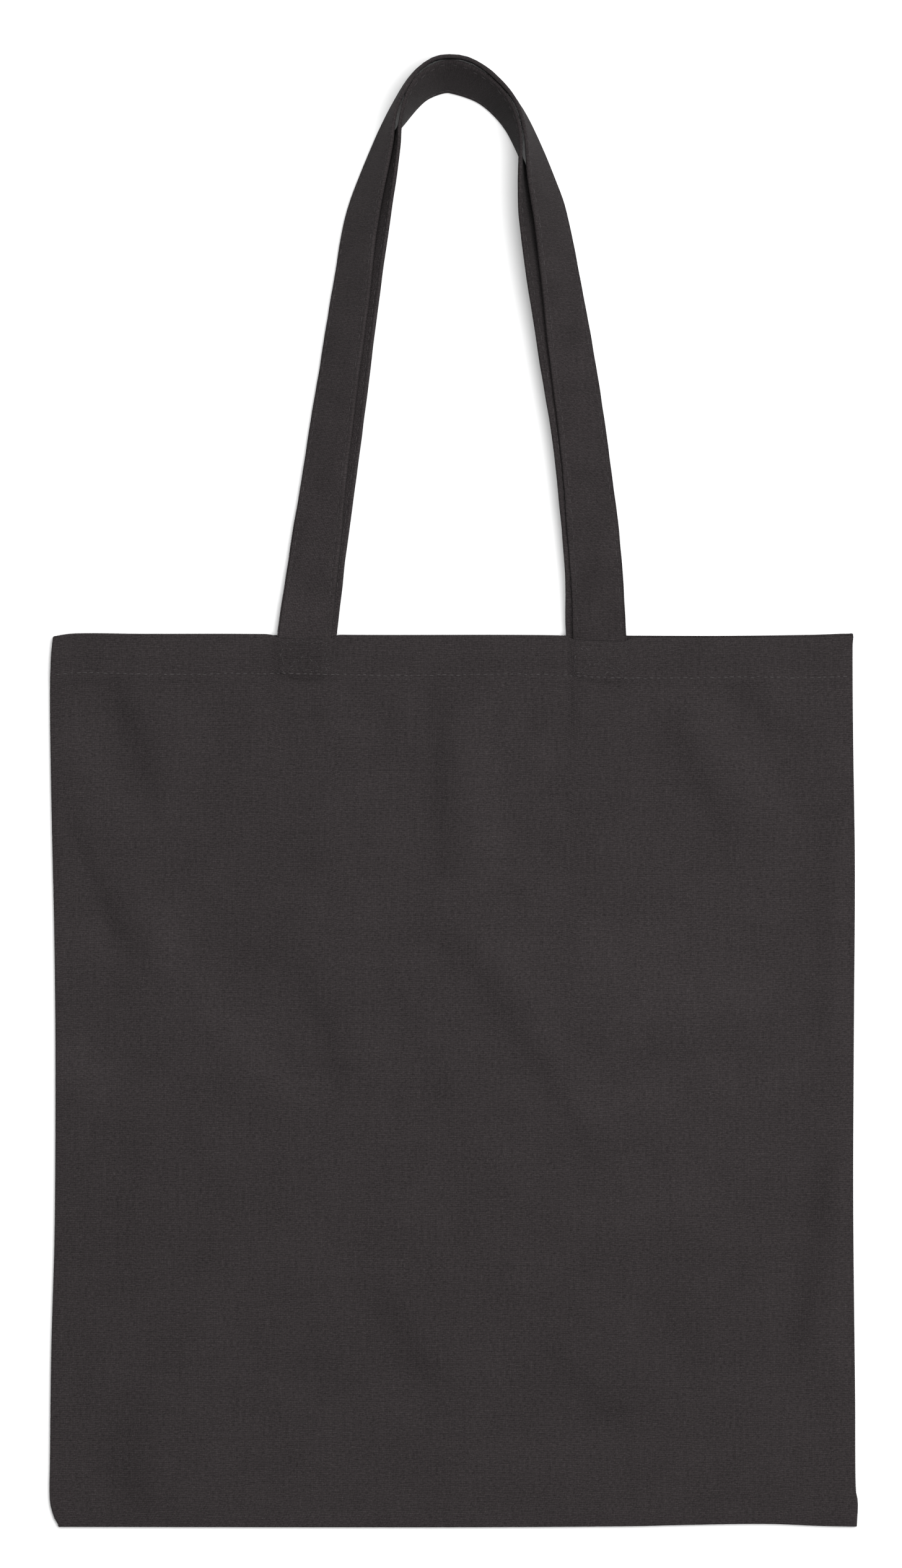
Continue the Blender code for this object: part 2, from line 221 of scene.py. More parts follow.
def canvasWeaveGroup():
    # plain weave: in each cell either the warp or the weft crown is on top, and each thread has its own tone
    tree, given, wanted = newGroup("canvasWeave", [
        ("Cloth Map", "NodeSocketVector", None), ("Tone", "NodeSocketColor", (0.03, 0.027, 0.027, 1.0)),
        ("Warp Pitch", "NodeSocketFloat", 0.00074), ("Weft Pitch", "NodeSocketFloat", 0.00087),
        ("Thread Spread", "NodeSocketFloat", 0.3), ("Mottle", "NodeSocketFloat", 0.08),
        ("Twill", "NodeSocketFloat", 0.0), ("Wear And Painted Shade", "NodeSocketFloat", 0.0)],
        [("Colour", "NodeSocketColor"), ("Roughness", "NodeSocketFloat"), ("Height", "NodeSocketFloat")])
    clothMap = given["Cloth Map"]
    shifted = driftOf(tree, (clothMap, clothMap), 55.0, 2.0, (0.0016, 0.0016, 0.0))
    jogged = driftOf(tree, (clothMap, shifted), 480.0, 1.0, (0.0011, 0.0009, 0.0))
    split = groupNode(tree, "ShaderNodeSeparateXYZ")
    tree.links.new(jogged, split.inputs[0])
    across = sums(tree, "DIVIDE", split.outputs["X"], given["Warp Pitch"])
    along = sums(tree, "DIVIDE", split.outputs["Y"], given["Weft Pitch"])
    warpIndex, weftIndex = sums(tree, "FLOOR", across), sums(tree, "FLOOR", along)
    warpCrown = sums(tree, "SINE", sums(tree, "MULTIPLY", sums(tree, "FRACT", across), math.pi))
    weftCrown = sums(tree, "SINE", sums(tree, "MULTIPLY", sums(tree, "FRACT", along), math.pi))
    cell = sums(tree, "ADD", warpIndex, weftIndex)
    warpOnTop = sums(tree, "MULTIPLY", sums(tree, "FRACT", sums(tree, "MULTIPLY", cell, 0.5)), 2.0)
    warpHeight = sums(tree, "MULTIPLY", warpCrown, sums(tree, "MULTIPLY_ADD", weftCrown, 0.45, 0.45))
    weftHeight = sums(tree, "MULTIPLY", weftCrown, sums(tree, "MULTIPLY_ADD", warpCrown, 0.4, 0.6))
    weave = sums(tree, "MULTIPLY_ADD", warpOnTop, sums(tree, "SUBTRACT", warpHeight, weftHeight), weftHeight)
    warpPlace = vectorOf(tree, sums(tree, "MULTIPLY", warpIndex, 1.73),
                         sums(tree, "MULTIPLY", split.outputs["Y"], 45.0))
    weftPlace = vectorOf(tree, sums(tree, "MULTIPLY", split.outputs["X"], 45.0),
                         sums(tree, "MULTIPLY", weftIndex, 1.37))
    warpTone = noiseOf(tree, warpPlace, 1.0, 1.0).outputs["Fac"]
    weftTone = noiseOf(tree, weftPlace, 1.0, 1.0).outputs["Fac"]
    threadTone = sums(tree, "MULTIPLY_ADD", warpOnTop, sums(tree, "SUBTRACT", warpTone, weftTone), weftTone)
    diagonal = sums(tree, "SINE", sums(tree, "MULTIPLY", sums(tree, "ADD", across, along), math.pi))
    twilled = sums(tree, "MULTIPLY_ADD", sums(tree, "MULTIPLY", diagonal, given["Twill"]), 0.5, weave)
    fibres = noiseOf(tree, given["Cloth Map"], 5200.0, 2.0, 0.6).outputs["Fac"]
    patches = noiseOf(tree, given["Cloth Map"], 42.0, 3.0, 0.6).outputs["Fac"]
    slubPlace = vectorOf(tree, sums(tree, "MULTIPLY", split.outputs["X"], 640.0),
                         sums(tree, "MULTIPLY", split.outputs["Y"], 1250.0))
    slubs = sums(tree, "MULTIPLY_ADD", noiseOf(tree, slubPlace, 1.0, 1.0).outputs["Fac"], 1.1, -0.55)
    neps = sums(tree, "GREATER_THAN", noiseOf(tree, given["Cloth Map"], 640.0, 1.0).outputs["Fac"], 0.735)
    toneShift = sums(tree, "MULTIPLY", sums(tree, "SUBTRACT", threadTone, 0.5), given["Thread Spread"])
    patchShift = sums(tree, "MULTIPLY", sums(tree, "SUBTRACT", patches, 0.5), given["Mottle"])
    fibreShift = sums(tree, "MULTIPLY_ADD", fibres, 0.24, -0.12)
    level = sums(tree, "ADD", sums(tree, "ADD", toneShift, patchShift), fibreShift)
    level = sums(tree, "MULTIPLY_ADD", neps, 0.22, sums(tree, "ADD", level, slubs))
    # painted shade: the tone follows the weave's height, lighter on the crowns and darker in the hollows between
    # threads
    level = sums(tree, "ADD", level, sums(tree, "MULTIPLY_ADD", twilled, 0.42, 0.74))
    # the share of wear and painted shade at each vertex scales the tone
    level = sums(tree, "MULTIPLY", level, sums(tree, "ADD", given["Wear And Painted Shade"], 1.0))
    tonedBy(tree, given["Tone"], level, wanted["Colour"])
    tree.links.new(sums(tree, "MULTIPLY_ADD", fibres, 0.16, 0.78), wanted["Roughness"])
    tree.links.new(sums(tree, "MULTIPLY_ADD", fibres, 0.25, twilled), wanted["Height"])
    return tree


def pliedThreadGroup():
    # sewing thread: slanting plies, seen as a stripe that climbs round the thread
    tree, given, wanted = newGroup("pliedThread", [
        ("Thread Map", "NodeSocketVector", None), ("Tone", "NodeSocketColor", (0.06, 0.055, 0.055, 1.0)),
        ("Ply Pitch", "NodeSocketFloat", 0.0006), ("Tone Spread", "NodeSocketFloat", 0.5)],
        [("Colour", "NodeSocketColor"), ("Roughness", "NodeSocketFloat"), ("Height", "NodeSocketFloat")])
    split = groupNode(tree, "ShaderNodeSeparateXYZ")
    tree.links.new(given["Thread Map"], split.inputs[0])
    slant = sums(tree, "ADD", split.outputs["X"], split.outputs["Y"])
    climb = sums(tree, "DIVIDE", slant, given["Ply Pitch"])
    ply = sums(tree, "ABSOLUTE", sums(tree, "SINE", sums(tree, "MULTIPLY", climb, math.pi)))
    # uneven wear along the thread, a random tone and roughness
    wearAndPaintedShade = noiseOf(tree, given["Thread Map"], 260.0, 2.0).outputs["Fac"]
    level = sums(tree, "MULTIPLY_ADD", sums(tree, "SUBTRACT", wearAndPaintedShade, 0.5), given["Tone Spread"], 0.72)
    # painted shade: the tone follows the plies' height, lighter on their crowns and darker in the grooves between
    # them
    level = sums(tree, "MULTIPLY_ADD", ply, 0.4, level)
    tonedBy(tree, given["Tone"], level, wanted["Colour"])
    tree.links.new(sums(tree, "MULTIPLY_ADD", wearAndPaintedShade, 0.2, 0.5), wanted["Roughness"])
    tree.links.new(ply, wanted["Height"])
    return tree


canvasWeave = canvasWeaveGroup()
pliedThread = pliedThreadGroup()


def setShare(piece, name, values):
    # one number at each vertex, which the piece's finish reads by name
    attribute = piece.data.attributes.new(name, "FLOAT", "POINT")
    attribute.data.foreach_set("value", np.ascontiguousarray(values, np.float32).ravel())


def clothMaterial(name, group, look):
    # the shared effect gives colour, roughness and relief; sheen and specular are the shader's own numbers
    material = bpy.data.materials.new(name)
    material.use_nodes = True
    tree = material.node_tree
    shader = tree.nodes["Principled BSDF"]
    effect = groupNode(tree, "ShaderNodeGroup", node_tree=group)
    mapping = groupNode(tree, "ShaderNodeUVMap", uv_map="clothMap")
    tree.links.new(mapping.outputs["UV"], effect.inputs[0])
    for title, value in look["inputs"].items():
        effect.inputs[title].default_value = value
    # each vertex's share of wear and painted shade, read by name, scales the weave's tone
    if "Wear And Painted Shade" in effect.inputs:
        wearAndPaintedShade = groupNode(tree, "ShaderNodeAttribute", attribute_name="wearAndPaintedShade")
        tree.links.new(wearAndPaintedShade.outputs["Fac"], effect.inputs["Wear And Painted Shade"])
    relief = groupNode(tree, "ShaderNodeBump")
    relief.inputs["Strength"].default_value = look["reliefStrength"]
    relief.inputs["Distance"].default_value = look["reliefDepth"]
    tree.links.new(effect.outputs["Height"], relief.inputs["Height"])
    tree.links.new(relief.outputs["Normal"], shader.inputs["Normal"])
    tree.links.new(effect.outputs["Colour"], shader.inputs["Base Color"])
    tree.links.new(effect.outputs["Roughness"], shader.inputs["Roughness"])
    shader.inputs["Specular IOR Level"].default_value = look["specular"]
    shader.inputs["Sheen Weight"].default_value = look["sheen"]
    shader.inputs["Sheen Roughness"].default_value = look["sheenRoughness"]
    return material


canvasLook = {
    "inputs": {"Tone": (0.0286, 0.0247, 0.0254, 1.0), "Warp Pitch": 0.00074, "Weft Pitch": 0.00087,
               "Thread Spread": 0.42, "Mottle": 0.24, "Twill": 0.0},
    "reliefStrength": 0.8, "reliefDepth": 0.00022,
    "specular": 0.04, "sheen": 0.02, "sheenRoughness": 0.5,
}
strapLook = {**canvasLook, "inputs": {
    "Tone": (0.0287, 0.0247, 0.0254, 1.0), "Warp Pitch": 0.00074, "Weft Pitch": 0.0008,
    "Thread Spread": 0.42, "Mottle": 0.22, "Twill": 0.22}}
threadLook = {
    "inputs": {"Tone": (0.044, 0.0395, 0.0402, 1.0), "Ply Pitch": 0.0006, "Tone Spread": 1.0},
    "reliefStrength": 0.6, "reliefDepth": 0.0001,
    "specular": 0.15, "sheen": 0.02, "sheenRoughness": 0.4,
}
dullThreadLook = {**threadLook, "specular": 0.1, "inputs": {
    "Tone": (0.0355, 0.0315, 0.0322, 1.0), "Ply Pitch": 0.0006, "Tone Spread": 1.5}}
canvasFinish = clothMaterial("canvasFinish", canvasWeave, canvasLook)
strapFinish = clothMaterial("strapFinish", canvasWeave, strapLook)
threadFinish = clothMaterial("threadFinish", pliedThread, threadLook)
dullThreadFinish = clothMaterial("dullThreadFinish", pliedThread, dullThreadLook)
print("finishes made")


# The bag's body: two panels of canvas, rolled over at their seams and hemmed at the mouth

bag = {
    "mouthLine": 0.2105,       # nominal height of the mouth above the bag's middle
    "bodyStart": -0.2096,      # lowest row of the face, just above the bottom seam
    "faceEdge": 0.1885,        # outermost column of the face
    "ply": 0.0005,             # thickness of one layer of canvas
    "apart": 0.52,             # from the seam line to each panel's edge, in plies
    "hemDepth": 0.0205,        # folded part below the mouth
    "hemStitching": 0.0186,    # the row that holds it, below the mouth
    "hemRun": 0.006,           # how far below the hem the fine rows begin
    "hemPitch": 0.00062,       # from one layer of the hem to the next
    "turnIn": 0.008,           # raw edge folded up inside the hem
    "rollWidth": 0.0009,       # how far the cloth takes to roll over at a seam
    "bodySeam": 0.0014,        # height of the seam line, where front and back meet
    "hemSeam": 0.002,
    "bodyRim": 0.00255,        # height of the front layer just inside the seam
    "hemRim": 0.0037,
    "allowance": 0.009,
    "cutWidth": 0.397, "cutLength": 0.471,
    # outline: sides as (height, across), ends as (across, height)
    "left": [(-0.2105, -0.1846), (-0.2087, -0.186), (-0.2052, -0.1877), (-0.198, -0.1893),
             (-0.18, -0.1892), (-0.1275, -0.1886), (-0.07, -0.187), (0.01, -0.1866),
             (0.0655, -0.1871), (0.1357, -0.1886),
             (0.18, -0.1892), (0.2, -0.1888), (0.211, -0.1878)],
    "right": [(-0.2105, 0.1909), (-0.1991, 0.1914), (-0.193, 0.1904), (-0.15, 0.1901),
              (-0.057, 0.1892), (0.02, 0.1895), (0.1006, 0.19),
              (0.16, 0.1892), (0.2059, 0.1889), (0.211, 0.1894)],
    "bottom": [(-0.19, -0.2105), (0.0, -0.2107), (0.0851, -0.2102), (0.1061, -0.2097),
               (0.1482, -0.2091), (0.175, -0.2101), (0.1915, -0.2104)],
    "frontMouth": [(-0.1895, 0.209), (-0.178, 0.2106), (-0.1465, 0.2104), (-0.1044, 0.2104),
                   (-0.0412, 0.2099),
                   (0.043, 0.2098), (0.0851, 0.2086), (0.1272, 0.2083), (0.1482, 0.2086), (0.1693, 0.2087),
                   (0.1895, 0.2097)],
    "backMouth": [(-0.1895, 0.2088), (-0.178, 0.21), (-0.1044, 0.2099), (0.0, 0.2096), (0.05, 0.2097),
                  (0.0851, 0.2096), (0.1272, 0.2095), (0.1693, 0.21), (0.1895, 0.2107)],
    "frontStraps": (-0.0694, 0.0698), "backStraps": (-0.0674, 0.0668),   # where each handle is sewn on
    "strapHalf": 0.0128,
    "bodySpacing": 0.003, "fineSpacing": 0.00095, "fineHalf": 0.0165,
    "gauge": 60,               # the row and the column along which the flat cloth is measured
}

frontRelief = {
    "loftTop": 0.0056,         # height of the front panel in the middle
    "loftRun": 0.055,          # run over which it rises from the seams
    "mouthLift": 0.0013,       # extra height towards the handles
    "strapBump": 0.0011,       # where the hem lies over a handle's sewn end
    "mouthDip": 0.0019,        # how far the mouth is pulled down there
    "foldScale": 1.7,
    "allowanceLift": 0.00034,  # the panel can't sink past the seam allowance under it
    "light": (0.82, 0.57),     # the side that a fold's height is counted towards
    "hemStep": 0.00045,        # rise from the body to the hem's three layers
    "stitchSink": 0.00016,     # how far the hem's stitching draws the cloth down
    "puckers": 0.00013,        # upright puckers below the hem
    "rumples": [(0.00016, 0.034, 11), (0.00006, 0.012, 12), (0.0003, 0.11, 13)],   # height, size, seed
    "boxRumples": 0.00017,     # unevenness inside a box stitch
    # (x0, y0, x1, y1, bow, width, height): a step in the cloth; a positive height rises to that side
    "folds": [
        (-0.16, 0.19, -0.139, 0.133, 0.002, 0.006, 0.00085),
        (-0.178, 0.124, -0.146, 0.057, -0.004, 0.0055, 0.00095),
        (-0.181, 0.17, -0.148, 0.12, 0.0, 0.007, -0.0008),
        (-0.007, 0.192, -0.004, 0.098, 0.001, 0.005, 0.00085),
        (0.015, 0.178, 0.017, 0.095, 0.0, 0.007, -0.0011),
        (-0.006, 0.074, 0.068, -0.037, 0.003, 0.0055, 0.0008),
        (0.02, 0.076, 0.062, -0.018, 0.003, 0.009, -0.0006),
        (-0.071, 0.052, -0.05, -0.004, 0.003, 0.0065, 0.00075),
        (-0.046, 0.092, -0.038, 0.04, 0.0, 0.006, -0.00045),
        (-0.05, 0.15, -0.016, 0.1, 0.0, 0.007, -0.00045),
        (-0.022, 0.034, 0.003, -0.022, 0.002, 0.005, 0.0004),
        (-0.136, 0.08, -0.064, -0.01, -0.01, 0.007, -0.00085),
        (-0.035, -0.098, -0.009, -0.143, 0.0, 0.0055, 0.0007),
        (0.042, -0.116, 0.088, -0.16, -0.006, 0.006, 0.0006),
        (0.177, -0.03, 0.163, -0.136, 0.002, 0.0065, 0.00125),
        (0.172, 0.046, 0.171, 0.02, 0.0, 0.006, 0.0004),
        (0.103, 0.168, 0.13, 0.116, 0.0, 0.006, 0.0008),
        (0.134, 0.188, 0.168, 0.156, -0.002, 0.0055, 0.0008),
        (0.112, 0.182, 0.156, 0.13, 0.0, 0.007, -0.0009),
        (0.058, 0.19, 0.058, 0.16, 0.0, 0.004, 0.00045),
        (-0.062, 0.188, -0.066, 0.15, 0.0, 0.005, 0.0003),
        (-0.15, -0.148, -0.149, -0.214, 0.0, 0.009, 0.0009),
        (0.072, 0.008, 0.15, 0.028, -0.004, 0.006, 0.00045),
        (0.056, -0.018, 0.146, 0.002, 0.004, 0.007, -0.0005),
        (0.06, 0.056, 0.162, 0.04, 0.0, 0.02, -0.0009),
        (0.104, -0.05, 0.124, -0.064, 0.0, 0.01, -0.0005),
        (-0.188, 0.076, -0.164, 0.064, 0.0, 0.007, -0.0006),
        (-0.186, 0.018, -0.156, -0.006, 0.0, 0.011, -0.00085),
        (-0.176, -0.084, -0.152, -0.074, 0.0, 0.006, 0.00045),
        (-0.128, -0.02, -0.108, -0.06, 0.0, 0.006, 0.00035),
        (-0.084, -0.132, -0.04, -0.138, 0.0, 0.005, 0.0003),
        (0.183, 0.12, 0.184, -0.05, 0.0, 0.004, -0.0003),
        (0.09, -0.1, 0.124, -0.13, 0.0, 0.007, 0.0004),
        (-0.03, 0.18, -0.027, 0.152, 0.0, 0.004, 0.0003),
        (0.031, 0.18, 0.029, 0.156, 0.0, 0.004, -0.00045),
        (0.04, 0.181, 0.038, 0.164, 0.0, 0.0035, 0.0003),
        (0.044, 0.164, 0.046, 0.146, 0.0, 0.005, -0.0004),
        (-0.053, 0.184, -0.052, 0.166, 0.0, 0.0045, -0.00035),
        (0.175, 0.15, 0.176, 0.01, 0.002, 0.005, 0.0005),
        (-0.084, 0.186, -0.07, 0.156, 0.0, 0.006, 0.00035),
        (-0.13, 0.186, -0.12, 0.15, 0.0, 0.007, -0.00035),
        (-0.068, 0.14, -0.066, 0.085, 0.0, 0.008, 0.00035),
        (0.022, 0.182, 0.024, 0.158, 0.0, 0.005, 0.0003),
        (-0.1, 0.184, -0.104, 0.14, 0.0, 0.006, 0.00025),
        (0.0575, 0.206, 0.0575, 0.17, 0.0, 0.0018, 0.00025),
    ],
    "foldShade": 0.058,         # painted shade and light: change of tone along a fold's line for each millimetre of its height
    # (x, y, half width, half height, share): broad lighter and darker patches of painted light and shade, with
    # painted shade over and below the handles' sewn ends and a painted highlight along the right edge
    "paintedShadeAreas": [
        (0.1, 0.066, 0.06, 0.05, 0.055), (0.11, -0.01, 0.055, 0.03, 0.05),
        (0.1, -0.055, 0.05, 0.02, 0.04), (0.02, 0.14, 0.014, 0.045, 0.03),
        (-0.17, 0.1, 0.012, 0.05, 0.05), (-0.178, 0.006, 0.014, 0.016, 0.1),
        (-0.186, 0.06, 0.006, 0.02, 0.08), (-0.136, 0.06, 0.01, 0.03, 0.05),
        (-0.1, 0.026, 0.022, 0.009, 0.05), (-0.062, 0.078, 0.008, 0.028, 0.035),
        (0.145, 0.135, 0.02, 0.04, 0.03), (-0.092, 0.08, 0.018, 0.045, -0.045),
        (-0.153, -0.185, 0.014, 0.03, -0.035), (0.0, -0.13, 0.15, 0.075, -0.025),
        (-0.14, -0.07, 0.04, 0.04, -0.03), (0.164, 0.06, 0.012, 0.07, -0.02),
        (0.186, 0.02, 0.004, 0.18, 0.05), (-0.02, -0.11, 0.03, 0.03, -0.03),
        (0.07, -0.145, 0.024, 0.012, -0.03), (-0.0694, 0.201, 0.014, 0.01, -0.15),
        (0.07, 0.199, 0.014, 0.01, -0.04), (-0.069, 0.1915, 0.012, 0.0018, -0.18),
        (0.072, 0.1905, 0.012, 0.0016, -0.07), (-0.172, 0.195, 0.01, 0.01, -0.03),
        (0.01, 0.196, 0.18, 0.004, -0.04),
    ],
}


def seamHeight(y, part):
    # height of the seam or of the rim beside it: one level in the body, and higher in the thick hem
    start = bag["mouthLine"] - bag["hemDepth"]
    rise = easeStep((y - start + 0.006) / 0.008)
    low, high = (bag["bodySeam"], bag["hemSeam"]) if part == "seam" else (bag["bodyRim"], bag["hemRim"])
    return low + (high - low) * rise


def overStraps(x, y, straps, mouth):
    # 1 where the hem lies over a handle's end, with its sides and lower edge rounded off
    side = sum(easeStep((bag["strapHalf"] + 0.0022 - np.abs(x - place)) / 0.005) for place in straps)
    nearest = np.minimum(np.abs(x - straps[0]), np.abs(x - straps[1]))
    skew = np.where(x < 0, x - straps[0], x - straps[1]) * 0.045
    lower = mouth - 0.0198 - 0.0024 * np.cos(np.clip(nearest / 0.013, 0, 1) * math.pi / 2) - skew
    return side * easeStep((y - lower) / 0.0028)


def acrossFold(x, y, fold, light):
    # signed distance from a fold's bowed line, positive towards the light, and its strength there, 0 to 1
    x0, y0, x1, y1, bow = fold[:5]
    dx, dy = x1 - x0, y1 - y0
    length = math.hypot(dx, dy)
    normal = (-dy / length, dx / length)
    if normal[0] * light[0] + normal[1] * light[1] < 0:
        normal = (-normal[0], -normal[1])
    t = ((x - x0) * dx + (y - y0) * dy) / length**2
    curve = bow * 4.0 * np.clip(t, 0, 1) * (1 - np.clip(t, 0, 1))
    d = (x - x0) * normal[0] + (y - y0) * normal[1] - curve
    return d, easeStep((t + 0.22) / 0.44) * easeStep((1.22 - t) / 0.44)


def foldRelief(x, y, relief):
    # each fold: height * tanh(d / width) * exp(-(d / 4 width)^2) * its strength there, with d its distance
    total = np.zeros(np.broadcast(x, y).shape)
    for fold in relief["folds"]:
        d, reach = acrossFold(x, y, fold, relief["light"])
        total += fold[6] * np.tanh(d / fold[5]) * np.exp(-(d / (4.0 * fold[5]))**2) * reach
    return total * relief["foldScale"]


def paintedShading(x, y, relief):
    # share added to the canvas's tone, painted shade and light: darker along a fold that rises towards the light,
    # paler along one that falls, each times exp(-(d / 1.1 width)^2), in place of part of its shading; then the
    # broad painted patches
    total = np.zeros(np.broadcast(x, y).shape)
    for fold in relief["folds"]:
        d, reach = acrossFold(x, y, fold, relief["light"])
        total -= fold[6] / 0.001 * relief["foldShade"] * np.exp(-(d / (1.1 * fold[5]))**2) * reach
    for middleX, middleY, wide, high, amount in relief["paintedShadeAreas"]:
        total += amount * np.exp(-((x - middleX) / wide)**2 - ((y - middleY) / high)**2)
    return total


def frontHeight(x, y):
    # height of the front layer's middle: loft, lift at the handles, folds, hem, puckers and fine rumples
    mouth = edgeLine(bag["frontMouth"], x)
    sideGap = np.minimum(x - edgeLine(bag["left"], y), edgeLine(bag["right"], y) - x)
    bottomGap = y - edgeLine(bag["bottom"], x)
    rim = seamHeight(y, "rim")
    run = frontRelief["loftRun"]
    level = easeStep(sideGap / run)**0.7 * easeStep(bottomGap / run)**0.7
    height = rim + (frontRelief["loftTop"] - rim) * level
    nearStraps = sum(np.exp(-((x - place) / 0.042)**2) for place in bag["frontStraps"])
    height += frontRelief["mouthLift"] * nearStraps * easeStep((y - 0.09) / 0.11)
    height += frontRelief["strapBump"] * overStraps(x, y, bag["frontStraps"], mouth)
    inside = easeStep(sideGap / 0.012) * easeStep(bottomGap / 0.012)
    hemLine = mouth - bag["hemDepth"]
    inBody = easeStep((hemLine + 0.01 - y) / 0.02)
    height += foldRelief(x, y, frontRelief) * inside * (0.25 + 0.75 * inBody)
    hemStep = easeStep((y - hemLine + 0.003) / 0.0034)
    height += frontRelief["hemStep"] * hemStep * inside
    stitchDip = np.exp(-((y - mouth + bag["hemStitching"]) / 0.0009)**2)
    height -= frontRelief["stitchSink"] * stitchDip * inside
    pucker = rumple(x, 0.25 * y, 0.016, 5, 5) * easeStep((y - 0.14) / 0.05) * frontRelief["puckers"]
    fine = sum(high * rumple(x, y, size, seed) for high, size, seed in frontRelief["rumples"])
    boxed = sum(easeStep((0.0118 - np.abs(x - place)) / 0.002) for place in bag["frontStraps"])
    boxed = boxed * easeStep((0.0166 - (mouth - y)) / 0.002) * easeStep((mouth - y - 0.0022) / 0.002)
    height += boxed * frontRelief["boxRumples"] * rumple(x, y, 0.0036, 21, 9)
    restingOn = rim + frontRelief["allowanceLift"] * easeStep(np.minimum(sideGap, bottomGap) / 0.005)
    return np.maximum(height + (pucker + fine) * inside, restingOn)


def backHeight(x, y):
    # height of the back layer's middle: it lies on the table, with shallow waves where it stands off it
    sideGap = np.minimum(x - edgeLine(bag["left"], y), edgeLine(bag["right"], y) - x)
    bottomGap = y - edgeLine(bag["bottom"], x)
    inside = easeStep(sideGap / 0.02) * easeStep(bottomGap / 0.02) * easeStep((0.186 - y) / 0.03)
    waves = 0.00022 * (1.2 + rumple(x, y, 0.07, 31)) + 0.0001 * (1.2 + rumple(x, y, 0.024, 32))
    return bag["ply"] / 2 + np.maximum(waves, 0.0) * inside


def strapColumns(straps):
    # places across the panel: coarse in the body, fine where a handle is sewn on
    fine, coarse = bag["fineHalf"], bag["bodySpacing"]
    stops = [-bag["faceEdge"], straps[0] - fine, straps[0] + fine, straps[1] - fine, straps[1] + fine,
             bag["faceEdge"]]
    spacings = (coarse, bag["fineSpacing"], coarse, bag["fineSpacing"], coarse)
    parts = [np.linspace(stops[i], stops[i + 1], round((stops[i + 1] - stops[i]) / spacings[i]) + 1)
             for i in range(len(spacings))]
    return np.unique(np.concatenate(parts).round(7))


def panelSheet(name, straps, mouthPoints, heightOf, facing, dip):
    # u runs over the left roll, the face and the right roll; v over the bottom roll, the face and the hem
    roll = np.linspace(math.pi, 0.0, 9)[:-1]
    face = strapColumns(straps)
    share = (face - face[0]) / (face[-1] - face[0])
    acrossAngle = np.concatenate([roll, np.zeros(len(share)), roll[::-1]])
    acrossShare = np.concatenate([np.zeros(len(roll)), share, np.ones(len(roll))])
    hemStart = bag["mouthLine"] - bag["hemDepth"] - bag["hemRun"]
    bodyRows = round((hemStart - bag["bodyStart"]) / bag["bodySpacing"]) + 1
    body = np.linspace(bag["bodyStart"], hemStart, bodyRows)
    hemRows = round((bag["mouthLine"] - hemStart) / bag["fineSpacing"]) + 1
    hem = np.linspace(hemStart, bag["mouthLine"] - bag["hemPitch"], hemRows)
    outer = np.concatenate([body, hem[1:]])
    upShare = (outer - outer[0]) / (outer[-1] - outer[0])
    turn = np.linspace(0.0, math.pi, 9)[1:]
    pitch, depth = bag["hemPitch"], bag["hemDepth"]
    down = np.linspace(-pitch, -(depth - pitch / 2), 15)[1:]
    back = np.linspace(-(depth - pitch / 2), -(depth - bag["turnIn"]), 6)[1:]
    # rows past the mouth: offset along the cloth and into the bag
    hemAlong = np.concatenate([-pitch + pitch * np.sin(turn), down,
                               -(depth - pitch / 2) - pitch / 2 * np.sin(turn[:-1]), back])
    hemInto = np.concatenate([pitch * (1 - np.cos(turn)), np.full(len(down), 2 * pitch),
                              2 * pitch - pitch / 2 * (1 - np.cos(turn[:-1])), np.full(len(back), pitch)])
    rowAngle = np.concatenate([roll, np.zeros(len(upShare) + len(hemAlong))])
    rowShare = np.concatenate([np.zeros(len(roll)), upShare, np.ones(len(hemAlong))])
    rowAlong = np.concatenate([np.zeros(len(roll) + len(upShare)), hemAlong + pitch])
    rowInto = np.concatenate([np.zeros(len(roll) + len(upShare)), hemInto])
    u, v = np.meshgrid(np.arange(len(acrossAngle)), np.arange(len(rowAngle)))
    rollWidth = bag["rollWidth"]
    nominalY = outer[0] + (outer[-1] - outer[0]) * rowShare[v] + rowAlong[v]
    inset = rollWidth * (1 - np.sin(acrossAngle[u])) + np.where(acrossAngle[u] > 0, rowInto[v], 0.0)
    leftX = edgeLine(bag["left"], nominalY) + np.where(acrossShare[u] == 0, inset, rollWidth + rowInto[v])
    rightX = edgeLine(bag["right"], nominalY) - np.where(acrossShare[u] == 1, inset, rollWidth + rowInto[v])
    x = leftX + (rightX - leftX) * acrossShare[u]
    dips = sum(easeStep((bag["strapHalf"] + 0.004 - np.abs(x - place)) / 0.006) for place in straps) * dip
    mouth = edgeLine(mouthPoints, x) - dips
    low = edgeLine(bag["bottom"], x) + rollWidth * (1 - np.sin(rowAngle[v]))
    y = np.where(rowAngle[v] > 0, low, low + (mouth - bag["hemPitch"] - low) * rowShare[v]) + rowAlong[v]
    seam = seamHeight(nominalY, "seam") + facing * bag["ply"] * bag["apart"]
    height = heightOf(x, np.minimum(y, mouth - bag["hemPitch"]))
    crown = (1 + np.cos(acrossAngle[u])) / 2 * (1 + np.cos(rowAngle[v])) / 2
    z = seam + (height - seam) * crown - facing * rowInto[v] * crown
    points = np.stack([x, y, z], axis=-1)
    acrossLength, alongLength = runningLength(points[bag["gauge"]]), runningLength(points[:, bag["gauge"]])
    flatMap = np.stack(np.broadcast_arrays(acrossLength[None, :], alongLength[:, None]), axis=-1)
    piece = sheetPiece(name, points, flatMap, bag["ply"], canvasFinish)
    # the front gets its painted shading along the folds and its painted light and shade patches
    if facing > 0:
        setShare(piece, "wearAndPaintedShade", paintedShading(x, y, frontRelief))
    return piece


mouthSwing = {"wholeWithin": 0.092, "stillAt": 0.188, "from": -0.2105, "to": -0.11}


